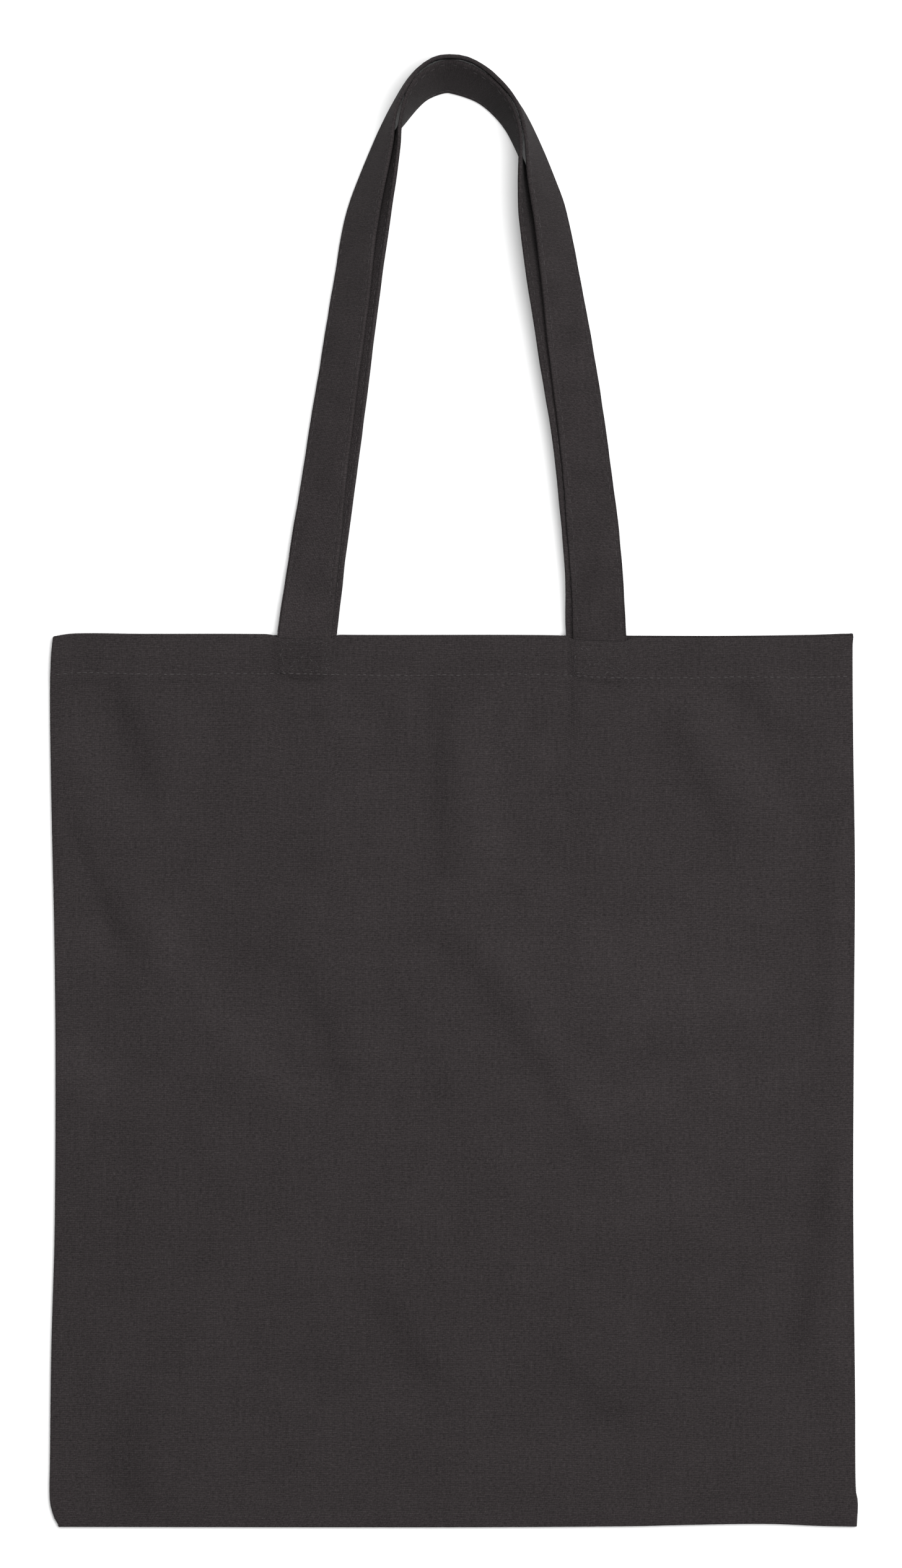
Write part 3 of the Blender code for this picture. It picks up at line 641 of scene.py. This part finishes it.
def swingWithMouth(piece):
    # the front moves with the mouth's opening in its middle and stays sewn to the back at its sides
    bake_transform(piece, "back_half", "front_half", start=(0, mouthSwing["from"], 0), end=(0, mouthSwing["to"], 0))
    count = len(piece.data.vertices)
    weights, places = np.zeros(count, np.float32), np.zeros(count * 3, np.float32)
    piece.data.attributes["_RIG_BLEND"].data.foreach_get("value", weights)
    piece.data.vertices.foreach_get("co", places)
    away = np.abs(places.reshape(-1, 3)[:, 0])
    middle = easeStep((mouthSwing["stillAt"] - away) / (mouthSwing["stillAt"] - mouthSwing["wholeWithin"]))
    piece.data.attributes["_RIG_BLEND"].data.foreach_set("value", (weights * middle).astype(np.float32))


frontCloth = panelSheet("front_cloth", bag["frontStraps"], bag["frontMouth"], frontHeight, 1,
                        frontRelief["mouthDip"])
backCloth = panelSheet("back_cloth", bag["backStraps"], bag["backMouth"], backHeight, -1, 0.0)
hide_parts("front_panel")
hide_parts("back_panel")
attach(backCloth, "back_half")
swingWithMouth(frontCloth)
print("panels made")


# Seam allowances, which lie inside the bag

def allowanceStrip(start, end, sideOf, heightShift, rows=60, columns=7):
    # across: from the seam line inwards; along: from one end of the seam to the other
    t = np.linspace(start, end, rows)[:, None]
    inwards = np.linspace(bag["rollWidth"] + 0.0002, bag["allowance"], columns)[None, :]
    x, y = sideOf(t, inwards)
    x, y = np.broadcast_arrays(x, y)
    lift = 0.00012 * rumple(x, y, 0.02, 41) * (inwards / bag["allowance"])
    z = (seamHeight(y, "seam") + heightShift * bag["ply"] * bag["apart"]
         + np.where(heightShift > 0, np.abs(lift), 0.0))
    flatMap = np.stack(np.broadcast_arrays(inwards + 0 * t, t + 0 * inwards), axis=-1)
    return np.stack([x, y, z], axis=-1), flatMap


# each seam's start, end, a point at a distance inwards from it, and the thread that closes it
seamSides = {
    "left_allowance": (-0.196, 0.186, lambda t, w: (edgeLine(bag["left"], t) + w, t + 0 * w),
                       "left_seam_thread"),
    "right_allowance": (-0.196, 0.186, lambda t, w: (edgeLine(bag["right"], t) - w, t + 0 * w),
                        "right_seam_thread"),
    "bottom_allowance": (-0.175, 0.181, lambda t, w: (t + 0 * w, edgeLine(bag["bottom"], t) + w),
                         "bottom_seam_thread"),
}


# Stitches: each one is a bowed capsule of thread

stitchCut = {"sides": 6, "sink": 0.00022}


def stitchPieces(name, places, directions, outwards, lengths, radius, sink, finish=threadFinish):
    # rings along t in -1..1 of radius * (1 - t^4)^(1/2), the middle raised by sink * (1 - t^2)
    ringAt = np.array([-0.99, -0.72, 0.0, 0.72, 0.99])
    sides = stitchCut["sides"]
    angle = np.arange(sides) / sides * 2 * math.pi
    ring = np.sqrt(1 - ringAt**4)[:, None]
    along = np.broadcast_to(ringAt[:, None], (len(ringAt), sides)).ravel()
    aside = (ring * np.cos(angle)[None, :]).ravel()
    above = (ring * np.sin(angle)[None, :]).ravel()
    raised = (1 - along**2)
    places, directions, outwards = (np.asarray(a, float) for a in (places, directions, outwards))
    directions = directions / np.linalg.norm(directions, axis=1, keepdims=True)
    sideways = np.cross(outwards, directions)
    sideways = sideways / np.linalg.norm(sideways, axis=1, keepdims=True)
    up = np.cross(directions, sideways)
    lengths = np.broadcast_to(np.asarray(lengths, float), (len(places),))
    halfLengths = along[None, :, None] * lengths[:, None, None] / 2
    points = (places[:, None, :] + directions[:, None, :] * halfLengths
              + sideways[:, None, :] * (aside * radius)[None, :, None]
              + up[:, None, :] * (above * radius * 0.8 + raised * sink - sink)[None, :, None])
    each = points.shape[1]
    quads = quadsOf(len(ringAt), sides, closed=True)
    quads = outwardFaces(points[0], quads)
    caps = np.stack([np.arange(sides)[::-1], np.arange(sides) + (len(ringAt) - 1) * sides])
    if not np.array_equal(quads, quadsOf(len(ringAt), sides, closed=True)):
        caps = caps[:, ::-1]
    shift = (np.arange(len(places)) * each)[:, None, None]
    quadFaces = (quads[None] + shift).reshape(-1, 4)
    capFaces = (caps[None] + shift).reshape(-1, sides)
    flat = np.stack([np.tile(angle * radius, len(ringAt)), along * 0.0016], axis=-1)
    flat = np.tile(flat, (len(places), 1)) + np.repeat(np.arange(len(places)), each)[:, None] * 0.0037
    order = np.concatenate([quadFaces.ravel(), capFaces.ravel()])
    faces = quadFaces.tolist() + capFaces.tolist()
    return meshPiece(name, points.reshape(-1, 3), faces, flat[order], finish)


def surfaceNormals(heightOf, x, y, facing, step=0.0004):
    # (-dz/dx, -dz/dy, 1) made one long, turned over for a face that looks down
    slopeX = (heightOf(x + step, y) - heightOf(x - step, y)) / (2 * step)
    slopeY = (heightOf(x, y + step) - heightOf(x, y - step)) / (2 * step)
    normal = np.stack([-slopeX, -slopeY, np.ones_like(x)], axis=-1) * facing
    return normal / np.linalg.norm(normal, axis=-1, keepdims=True)


def rowOfStitches(ends, pitch, seed, wander):
    # middles and directions of stitches along the straight line between two points, a little uneven
    (x0, y0), (x1, y1) = ends
    length = math.hypot(x1 - x0, y1 - y0)
    count = max(1, int(length / pitch))
    rng = np.random.default_rng(seed)
    t = (np.arange(count) + 0.5) / count
    heading = math.atan2(y1 - y0, x1 - x0)
    turn = heading + rng.normal(0, 0.1, count)
    off = rng.normal(0, wander, count)
    x = x0 + (x1 - x0) * t - math.sin(heading) * off
    y = y0 + (y1 - y0) * t + math.cos(heading) * off
    return x, y, turn


def stitchesOnPanel(name, x, y, turn, lengths, heightOf, facing, radius, sink, finish=threadFinish):
    # laid on a panel's outer face, with the ends drawn into the cloth
    normal = surfaceNormals(heightOf, x, y, facing)
    z = heightOf(x, y) + facing * (bag["ply"] / 2 + radius * 0.15)
    directions = np.stack([np.cos(turn), np.sin(turn), np.zeros_like(x)], axis=-1)
    return stitchPieces(name, np.stack([x, y, z], axis=-1), directions, normal, lengths, radius, sink, finish)


hemSeam = {"halfWidth": 0.1855, "pitch": 0.0031, "length": 0.0021, "radius": 0.00036}


def hemStitches(name, mouthPoints, heightOf, facing, seed):
    # one row round the mouth, a fixed distance below its edge
    reach = hemSeam["halfWidth"]
    count = int(2 * reach / hemSeam["pitch"])
    rng = np.random.default_rng(seed)
    x = np.linspace(-reach, reach, count) + rng.normal(0, 0.00018, count)
    y = edgeLine(mouthPoints, x) - bag["hemStitching"] + rng.normal(0, 0.00012, count)
    y += 0.0003 * np.sin(x * 60)
    slope = (edgeLine(mouthPoints, x + 0.002) - edgeLine(mouthPoints, x - 0.002)) / 0.004
    turn = np.arctan(slope) + rng.normal(0, 0.05, count)
    lengths = hemSeam["length"] * rng.uniform(0.7, 1.25, count)
    return stitchesOnPanel(name, x, y, turn, lengths, heightOf, facing, hemSeam["radius"], stitchCut["sink"])


frontHem = hemStitches("front_hem_stitches", bag["frontMouth"], frontHeight, 1, 51)
backHem = hemStitches("back_hem_stitches", bag["backMouth"], backHeight, -1, 52)
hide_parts("front_hem_thread")
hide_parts("back_hem_thread")
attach(backHem, "back_half")
swingWithMouth(frontHem)

crossBox = {"halfWidth": 0.0113, "top": 0.0027, "bottom": 0.016, "pitch": 0.0021, "length": 0.0018,
            "radius": 0.00036, "wander": 0.0007}


def crossStitches(name, place, mouthPoints, heightOf, facing, dip, seed):
    # a box with a cross in it, sewn through the hem and the handle's end
    mouth = float(edgeLine(mouthPoints, place)) - dip * 0.6
    left, right = place - crossBox["halfWidth"], place + crossBox["halfWidth"]
    top, low = mouth - crossBox["top"], mouth - crossBox["bottom"]
    lines = [((left, top), (right, top)), ((left, low), (right, low)), ((left, low), (left, top)),
             ((right, low), (right, top)), ((left, low), (right, top)), ((left, top), (right, low))]
    rows = [rowOfStitches(line, crossBox["pitch"], seed + i, crossBox["wander"])
            for i, line in enumerate(lines)]
    x, y, turn = (np.concatenate([row[i] for row in rows]) for i in range(3))
    rng = np.random.default_rng(seed)
    turn = turn + rng.normal(0, 0.3, len(x))
    lengths = crossBox["length"] * rng.uniform(0.5, 1.25, len(x))
    return stitchesOnPanel(name, x, y, turn, lengths, heightOf, facing, crossBox["radius"], stitchCut["sink"],
                           dullThreadFinish)


for half, mouthPoints, heightOf, facing, dip, seed in (
        ("front", bag["frontMouth"], frontHeight, 1, frontRelief["mouthDip"], 60),
        ("back", bag["backMouth"], backHeight, -1, 0.0, 80)):
    for i, (side, place) in enumerate(zip(("left", "right"), bag[half + "Straps"])):
        made = crossStitches(f"{half}_{side}_cross_stitches", place, mouthPoints, heightOf, facing, dip,
                             seed + 10 * i)
        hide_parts(f"{half}_{side}_box_stitch")
        if half == "front":
            swingWithMouth(made)
        else:
            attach(made, "back_half")
print("hem and cross stitches made")

overlockCut = {"pitch": 0.0026, "length": 0.0046, "radius": 0.00022, "sink": 0.0001,
               "inset": 0.0022,      # from the allowance's raw edge to the stitches' middles
               "above": 0.00026}     # over the upper layer
for name, (start, end, sideOf, threadNode) in seamSides.items():
    upper, upperMap = allowanceStrip(start, end, sideOf, 1)
    lower, lowerMap = allowanceStrip(start, end, sideOf, -1)
    strip = sheetPiece(name, upper, upperMap, bag["ply"], canvasFinish)
    under = sheetPiece(name + "_under", lower, lowerMap, bag["ply"], canvasFinish)
    count = int((end - start) / overlockCut["pitch"])
    t = np.linspace(start + 0.001, end - 0.001, count)
    rng = np.random.default_rng(100 + len(name))
    x, y = sideOf(t, np.full(count, bag["allowance"] - overlockCut["inset"]))
    turn = (math.pi / 2 if name.startswith("bottom") else 0.0) + rng.normal(0.12, 0.06, count)
    z = seamHeight(y, "seam") + bag["ply"] * 1.05 + overlockCut["above"]
    overlock = stitchPieces(name + "_overlock", np.stack([x, y, z], axis=-1),
                            np.stack([np.cos(turn), np.sin(turn), 0 * x], axis=-1),
                            np.tile([0.0, 0.0, 1.0], (count, 1)), overlockCut["length"],
                            overlockCut["radius"], overlockCut["sink"])
    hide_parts(threadNode)
    for piece in (strip, under, overlock):
        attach(piece, "back_half")
print("seam allowances made")


# The handles: canvas folded to four layers and sewn down both edges

handleCut = {
    "width": 0.0255, "thickness": 0.0018, "edgeRadius": 0.00085,
    "stitchLine": 0.0103,      # from the middle of the width
    "stitchDip": 0.0002, "crown": 0.00012,
    "sideLightShade": 0.08,          # painted light: how much lighter the left leg is painted, and how much darker the right
    "rimFade": 0.06,           # how much paler the edges are
    "handFade": 0.05,          # uneven wear along the length
    "innerShade": 0.24,        # painted shade: how much darker the inner face is painted
    "spacing": 0.0019,         # rows along the length
    "endInBag": 0.018,        # sewn end below the mouth
    "stitchPitch": 0.0043, "stitchLength": 0.003, "stitchRadius": 0.00027, "stitchSink": 0.00016,
    "stitchProud": 0.00012,    # above the dip that it lies in
    "stitchStart": 0.003,      # past the mouth
}
# (across, distance past the mouth, tilt in degrees, base height), as each handle is laid
frontHandle = [
    (-0.0694, 0.0, 3, 0.0049), (-0.0647, 0.037, 24, 0.0028), (-0.0575, 0.092, 38, 0.001),
    (-0.0475, 0.16, 46, 0.0006), (-0.0422, 0.196, 54, 0.0003), (-0.0325, 0.23, 70, 0.0),
    (-0.0269, 0.248, 84, 0.0), (-0.0181, 0.2632, 87, 0.0), (-0.009, 0.2704, 88, 0.0),
    (0.0, 0.2719, 88, 0.0), (0.0092, 0.2701, 88, 0.0), (0.0196, 0.2632, 88, 0.0),
    (0.0296, 0.2518, 88, 0.0), (0.036, 0.238, 81, 0.0),
    (0.0422, 0.214, 61, 0.0002), (0.0467, 0.196, 53, 0.0004), (0.0552, 0.14, 37, 0.002),
    (0.0625, 0.087, 26, 0.0034), (0.0682, 0.03, 13, 0.0045), (0.0697, 0.0, 3, 0.0049)]
backHandle = [
    (-0.067, 0.0, 3, 0.0021), (-0.0613, 0.037, 26, 0.0003), (-0.0524, 0.092, 39, 0.0),
    (-0.0428, 0.16, 47, 0.0), (-0.036, 0.196, 57, 0.0), (-0.0276, 0.23, 76, 0.0),
    (-0.0231, 0.2421, 94, 0.0), (-0.0159, 0.2549, 110, 0.0), (-0.0081, 0.2607, 119, 0.0),
    (0.0, 0.2627, 124, 0.0),
    (0.0141, 0.2571, 118, 0.0), (0.0233, 0.2485, 112, 0.0), (0.0299, 0.2361, 101, 0.0),
    (0.0347, 0.212, 76, 0.0), (0.0372, 0.196, 66, 0.0), (0.0493, 0.14, 42, 0.0),
    (0.0587, 0.087, 33, 0.0), (0.0653, 0.03, 19, 0.0006), (0.0668, 0.0, 3, 0.0021)]

def handlePath(stations, spacing):
    # middle line with the directions across the width and out of the upper face, row by row
    rows = np.array(stations, float)
    ends = handleCut["endInBag"]
    first = [(rows[0, 0] - 0.0008, -ends, 0, rows[0, 3]), (rows[0, 0] - 0.0004, -ends / 2, 0, rows[0, 3])]
    last = [(rows[-1, 0] + 0.0004, -ends / 2, 0, rows[-1, 3]), (rows[-1, 0] + 0.0008, -ends, 0, rows[-1, 3])]
    rows = np.vstack([first, rows, last])
    chord = runningLength(rows[:, :2])
    at = np.linspace(0.0, chord[-1], int(chord[-1] / spacing) + 1)
    path = lineThrough(chord, rows, at)
    ahead = np.gradient(path[:, :2], axis=0)
    ahead = np.hstack([ahead / np.linalg.norm(ahead, axis=1, keepdims=True), np.zeros((len(at), 1))])
    inward = np.stack([ahead[:, 1], -ahead[:, 0], np.zeros(len(at))], axis=-1)
    up = np.array([0.0, 0.0, 1.0])
    tilt = np.radians(path[:, 2])[:, None]
    rise = (handleCut["width"] / 2 * np.sin(tilt[:, 0])
            + handleCut["thickness"] / 2 * np.abs(np.cos(tilt[:, 0])))
    centre = np.column_stack([path[:, 0], bag["mouthLine"] + path[:, 1], path[:, 3] + rise])
    across = np.cos(tilt) * inward + np.sin(tilt) * up
    face = -np.sin(tilt) * inward + np.cos(tilt) * up
    return centre, across, face, runningLength(centre)


def strapProfile(count=10):
    # closed outline: flat faces with a crown and dips at the stitch lines, and half-round edges
    half, thick, radius = handleCut["width"] / 2, handleCut["thickness"] / 2, handleCut["edgeRadius"]
    dipAt = handleCut["stitchLine"]
    flat = np.array([-half + radius, -dipAt - 0.0009, -dipAt, -dipAt + 0.0009, -0.005, 0.0,
                     0.005, dipAt - 0.0009, dipAt, dipAt + 0.0009, half - radius])
    dip = handleCut["stitchDip"] * np.exp(-((np.abs(flat) - dipAt) / 0.0006)**2)
    crown = handleCut["crown"] * (1 - (flat / half)**2) - dip
    turn = np.linspace(math.pi / 2, -math.pi / 2, count)[1:-1]
    rightX, rightZ = half - radius + radius * np.cos(turn), thick * np.sin(turn)
    groove = 1 - 0.22 * np.exp(-(turn / 0.22)**2)
    rightX = half - radius + (rightX - half + radius) * groove
    x = np.concatenate([flat, rightX, flat[::-1], -rightX[::-1]])
    z = np.concatenate([thick + crown, rightZ, -(thick + crown)[::-1], -thick * np.sin(turn[::-1])])
    return x, z


def strapPiece(name, stations, seed):
    # the profile carried along the path, with slow changes in width and thickness
    centre, across, face, length = handlePath(stations, handleCut["spacing"])
    px, pz = strapProfile()
    uneven = (1 + 0.012 * rumple(length, 0 * length, 0.045, seed)
              + 0.006 * rumple(length, 0 * length, 0.016, seed + 1))
    swell = 1 + 0.05 * rumple(length, 0 * length, 0.03, seed + 2)
    ripple = 0.0001 * rumple(length[:, None], px[None, :], 0.012, seed + 3) * (1 - (px[None, :] / 0.0128)**2)
    off = pz[None, :] * swell[:, None] + ripple * np.sign(pz)[None, :] * 0.6
    points = (centre[:, None, :] + across[:, None, :] * (px[None, :, None] * uneven[:, None, None])
              + face[:, None, :] * off[..., None])
    rows, columns = points.shape[:2]
    faces = outwardFaces(points.reshape(-1, 3), quadsOf(rows, columns, closed=True))
    turned = not np.array_equal(faces[0], quadsOf(rows, columns, closed=True)[0])
    outline = np.stack([np.append(px, px[0]), np.append(pz, pz[0])], axis=-1)
    wide = np.stack(np.broadcast_arrays(runningLength(outline)[None, :], length[:, None]), axis=-1)
    corners = quadsOf(rows, columns + 1)
    corners = corners[:, ::-1] if turned else corners
    startCap, endCap = np.arange(columns)[::-1], np.arange(columns) + (rows - 1) * columns
    if turned:
        startCap, endCap = startCap[::-1], endCap[::-1]
    capMap = np.stack([px, pz], axis=-1)
    cornerMap = np.concatenate([wide.reshape(-1, 2)[corners].reshape(-1, 2), capMap[startCap],
                                capMap[endCap - (rows - 1) * columns]])
    allFaces = faces.tolist() + [startCap.tolist(), endCap.tolist()]
    strap = meshPiece(name, points, allFaces, cornerMap, strapFinish)
    # painted light: the left leg painted lighter and the right darker
    paintedSideLight = -handleCut["sideLightShade"] * np.tanh(points[..., 0] / 0.02)
    rubbed = handleCut["rimFade"] * (np.abs(px) / px.max())[None, :]**8
    # painted shade: the inner face darker
    paintedInnerShade = -handleCut["innerShade"] * (1 - np.tanh(pz / (handleCut["thickness"] / 5)))[None, :] / 2
    handled = handleCut["handFade"] * rumple(length[:, None], px[None, :], 0.02, seed + 6)
    setShare(strap, "wearAndPaintedShade", paintedSideLight + rubbed + paintedInnerShade + handled)
    return strap


def strapStitches(name, stations, seed):
    # two rows on each face, a fixed distance from the middle, from the mouth round to the mouth
    centre, across, face, length = handlePath(stations, handleCut["spacing"])
    start = handleCut["endInBag"] + handleCut["stitchStart"]
    end = length[-1] - handleCut["endInBag"] - handleCut["stitchStart"]
    count = int((end - start) / handleCut["stitchPitch"])
    rng = np.random.default_rng(seed)
    places, directions, normals, lengths = [], [], [], []
    for side in (-1, 1):
        for facing in (-1, 1):
            at = np.linspace(start, end, count) + rng.normal(0, 0.00018, count)
            middle, wide, out = (np.column_stack([np.interp(at, length, a[:, k]) for k in range(3)])
                                 for a in (centre, across, face))
            nextMiddle = np.column_stack([np.interp(at + 0.0008, length, centre[:, k]) for k in range(3)])
            nextWide = np.column_stack([np.interp(at + 0.0008, length, across[:, k]) for k in range(3)])
            off = side * handleCut["stitchLine"] + rng.normal(0, 0.0001, count)
            here = middle + wide * off[:, None]
            there = nextMiddle + nextWide * off[:, None]
            lift = handleCut["thickness"] / 2 - handleCut["stitchDip"] + handleCut["stitchProud"]
            places.append(here + out * facing * lift)
            directions.append(there - here)
            normals.append(out * facing)
            lengths.append(handleCut["stitchLength"] * rng.uniform(0.85, 1.1, count))
    return stitchPieces(name, np.vstack(places), np.vstack(directions), np.vstack(normals),
                        np.concatenate(lengths), handleCut["stitchRadius"], handleCut["stitchSink"],
                        dullThreadFinish)


# where each handle starts and stops bending as it turns about the mouth
foldLine = {"front": (0.2108, 0.2172), "back": (0.2106, 0.215)}
for side, stations, seed in (("front", frontHandle, 201), ("back", backHandle, 301)):
    strap = strapPiece(f"{side}_strap", stations, seed)
    threads = strapStitches(f"{side}_strap_stitches", stations, seed + 50)
    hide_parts(f"{side}_handle", f"{side}_left_tab", f"{side}_right_tab")
    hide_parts(f"{side}_handle_outer_thread", f"{side}_handle_inner_thread")
    low, high = foldLine[side]
    for piece in (strap, threads):
        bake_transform(piece, f"{side}_half", f"{side}_loop", start=(0, low, 0), end=(0, high, 0))
print("handles made")


# Floor, light and camera

studio = {
    "floorTone": (0.93, 0.93, 0.93, 1.0), "floorHalf": 15.0, "floorDrop": 0.0006,
    "skyTone": (1.0, 1.0, 1.0, 1.0), "skyStrength": 0.14,
    "keyDistance": 3.0, "keyElevation": 74.0, "keyBearing": 42.0, "keySize": 3.0, "keyPower": 162.0,
    "cameraHeight": 6.0, "frameHeight": 0.74, "aimX": -0.0003, "aimY": 0.1398, "focusLevel": 0.0015,
}


def studioFloor():
    half = studio["floorHalf"]
    low = min(cadBox[0][2], 0.0) - studio["floorDrop"]
    side = np.linspace(-half, half, 5)
    x, y = np.meshgrid(side, side)
    points = np.stack([x, y, np.full_like(x, low)], axis=-1)
    faces = quadsOf(5, 5)
    material = bpy.data.materials.new("floorFinish")
    material.use_nodes = True
    shader = material.node_tree.nodes["Principled BSDF"]
    shader.inputs["Base Color"].default_value = studio["floorTone"]
    shader.inputs["Roughness"].default_value = 0.9
    shader.inputs["Specular IOR Level"].default_value = 0.1
    flat = points.reshape(-1, 3)[faces].reshape(-1, 3)[:, :2]
    floor = meshPiece("floor", points, faces, flat, material)
    return floor


def studioLight():
    world = bpy.data.worlds.new("studioSky")
    world.use_nodes = True
    sky = world.node_tree.nodes["Background"]
    sky.inputs["Color"].default_value = studio["skyTone"]
    sky.inputs["Strength"].default_value = studio["skyStrength"]
    bpy.context.scene.world = world
    lamp = bpy.data.lights.new("keyLight", "AREA")
    lamp.shape = "DISK"
    lamp.size = studio["keySize"]
    lamp.energy = studio["keyPower"]
    key = bpy.data.objects.new("keyLight", lamp)
    bpy.context.scene.collection.objects.link(key)
    rise, bearing = math.radians(studio["keyElevation"]), math.radians(studio["keyBearing"])
    key.location = (studio["keyDistance"] * math.cos(rise) * math.cos(bearing),
                    studio["keyDistance"] * math.cos(rise) * math.sin(bearing),
                    studio["keyDistance"] * math.sin(rise))
    key.rotation_euler = (math.radians(90) - rise, 0.0, bearing + math.radians(90))


def studioCamera():
    lens = bpy.data.cameras.new("camera")
    lens.lens = lens.sensor_width * (studio["cameraHeight"] - studio["focusLevel"]) / studio["frameHeight"]
    camera = bpy.data.objects.new("camera", lens)
    camera.location = (studio["aimX"], studio["aimY"], studio["cameraHeight"])
    bpy.context.scene.collection.objects.link(camera)
    bpy.context.scene.camera = camera


studioFloor()
studioLight()
studioCamera()
print("studio made")
